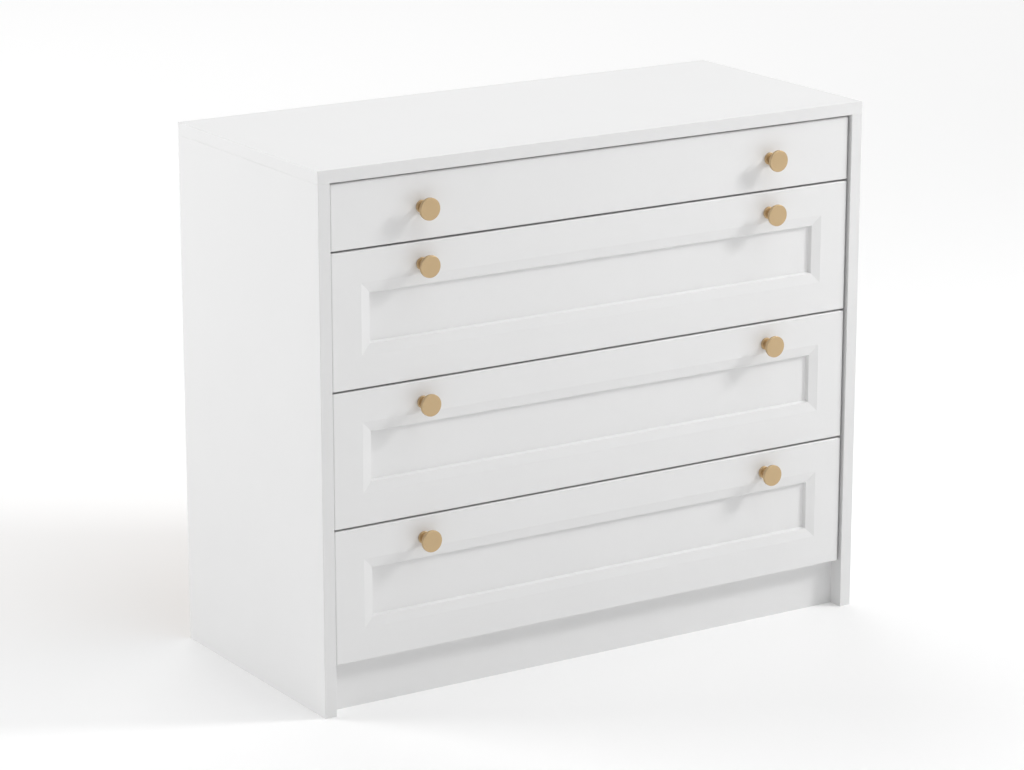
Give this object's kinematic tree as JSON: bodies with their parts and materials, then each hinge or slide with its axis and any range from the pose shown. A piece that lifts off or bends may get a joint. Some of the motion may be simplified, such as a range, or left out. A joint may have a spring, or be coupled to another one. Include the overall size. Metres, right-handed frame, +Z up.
{
  "type": "chest of drawers",
  "caption": "White flat-pack chest with one shallow drawer over three deep panelled drawers on telescopic runners, each opened by a pair of flat round brass-coloured knobs.",
  "frame": {"origin": "on the floor, under the middle of the whole object, knobs included", "axes": "+X to the right along the width, +Y from the drawer fronts to the back, +Z up"},
  "size_m": [0.9, 0.414, 0.763],
  "materials": {
    "white_board": "satin white foil on particle board",
    "front_board": "satin white lacquer on fibreboard",
    "drawer_board": "matt white foil on particle board",
    "white_hardboard": "matt white printed hardboard",
    "brass_knob": "brushed matt brass",
    "zinc_fittings": "zinc plated",
    "runner_steel": "zinc plated, smooth",
    "beech_dowel": "bare beech"
  },
  "bodies": {
    "carcass": {"top_panel": "white_board", "side_panel_left": "white_board", "side_panel_right": "white_board", "bottom_panel": "white_board", "back_panel": "white_hardboard", "plinth_front": "white_board", "plinth_rear": "white_board", "carcass_cam_fittings": "zinc_fittings", "carcass_dowels": "beech_dowel", "carcass_screws": "zinc_fittings", "wall_brackets": "zinc_fittings", "runner_outer_members": "runner_steel"},
    "drawer_1": {"drawer_1_front": "front_board", "drawer_1_side_left": "drawer_board", "drawer_1_side_right": "drawer_board", "drawer_1_back": "drawer_board", "drawer_1_bottom": "white_hardboard", "drawer_1_knob_left": "brass_knob", "drawer_1_knob_right": "brass_knob", "drawer_1_knob_screws": "zinc_fittings", "drawer_1_cam_fittings": "zinc_fittings", "drawer_1_runner_inner": "runner_steel", "drawer_1_runner_screws": "zinc_fittings"},
    "drawer_1_runners": {"drawer_1_runner_middle": "runner_steel"},
    "drawer_2": {"drawer_2_front": "front_board", "drawer_2_side_left": "drawer_board", "drawer_2_side_right": "drawer_board", "drawer_2_back": "drawer_board", "drawer_2_bottom": "white_hardboard", "drawer_2_knob_left": "brass_knob", "drawer_2_knob_right": "brass_knob", "drawer_2_knob_screws": "zinc_fittings", "drawer_2_cam_fittings": "zinc_fittings", "drawer_2_runner_inner": "runner_steel", "drawer_2_runner_screws": "zinc_fittings"},
    "drawer_2_runners": {"drawer_2_runner_middle": "runner_steel"},
    "drawer_3": {"drawer_3_front": "front_board", "drawer_3_side_left": "drawer_board", "drawer_3_side_right": "drawer_board", "drawer_3_back": "drawer_board", "drawer_3_bottom": "white_hardboard", "drawer_3_knob_left": "brass_knob", "drawer_3_knob_right": "brass_knob", "drawer_3_knob_screws": "zinc_fittings", "drawer_3_cam_fittings": "zinc_fittings", "drawer_3_runner_inner": "runner_steel", "drawer_3_runner_screws": "zinc_fittings"},
    "drawer_3_runners": {"drawer_3_runner_middle": "runner_steel"},
    "drawer_4": {"drawer_4_front": "front_board", "drawer_4_side_left": "drawer_board", "drawer_4_side_right": "drawer_board", "drawer_4_back": "drawer_board", "drawer_4_bottom": "white_hardboard", "drawer_4_knob_left": "brass_knob", "drawer_4_knob_right": "brass_knob", "drawer_4_knob_screws": "zinc_fittings", "drawer_4_cam_fittings": "zinc_fittings", "drawer_4_runner_inner": "runner_steel", "drawer_4_runner_screws": "zinc_fittings"},
    "drawer_4_runners": {"drawer_4_runner_middle": "runner_steel"}
  },
  "joints": [
    {"name": "drawer_1_slide", "type": "slide", "parent": "carcass", "child": "drawer_1", "axis": [0, -1, 0], "range_m": [0, 0.35]},
    {"name": "drawer_1_runner_slide", "type": "slide", "parent": "carcass", "child": "drawer_1_runners", "axis": [0, -1, 0], "range_m": [0, 0.175]},
    {"name": "drawer_2_slide", "type": "slide", "parent": "carcass", "child": "drawer_2", "axis": [0, -1, 0], "range_m": [0, 0.35]},
    {"name": "drawer_2_runner_slide", "type": "slide", "parent": "carcass", "child": "drawer_2_runners", "axis": [0, -1, 0], "range_m": [0, 0.175]},
    {"name": "drawer_3_slide", "type": "slide", "parent": "carcass", "child": "drawer_3", "axis": [0, -1, 0], "range_m": [0, 0.35]},
    {"name": "drawer_3_runner_slide", "type": "slide", "parent": "carcass", "child": "drawer_3_runners", "axis": [0, -1, 0], "range_m": [0, 0.175]},
    {"name": "drawer_4_slide", "type": "slide", "parent": "carcass", "child": "drawer_4", "axis": [0, -1, 0], "range_m": [0, 0.35]},
    {"name": "drawer_4_runner_slide", "type": "slide", "parent": "carcass", "child": "drawer_4_runners", "axis": [0, -1, 0], "range_m": [0, 0.175]}
  ],
  "couplings": [
    {"joint": "drawer_1_runner_slide", "follows": "drawer_1_slide", "ratio": 0.5},
    {"joint": "drawer_2_runner_slide", "follows": "drawer_2_slide", "ratio": 0.5},
    {"joint": "drawer_3_runner_slide", "follows": "drawer_3_slide", "ratio": 0.5},
    {"joint": "drawer_4_runner_slide", "follows": "drawer_4_slide", "ratio": 0.5}
  ]
}
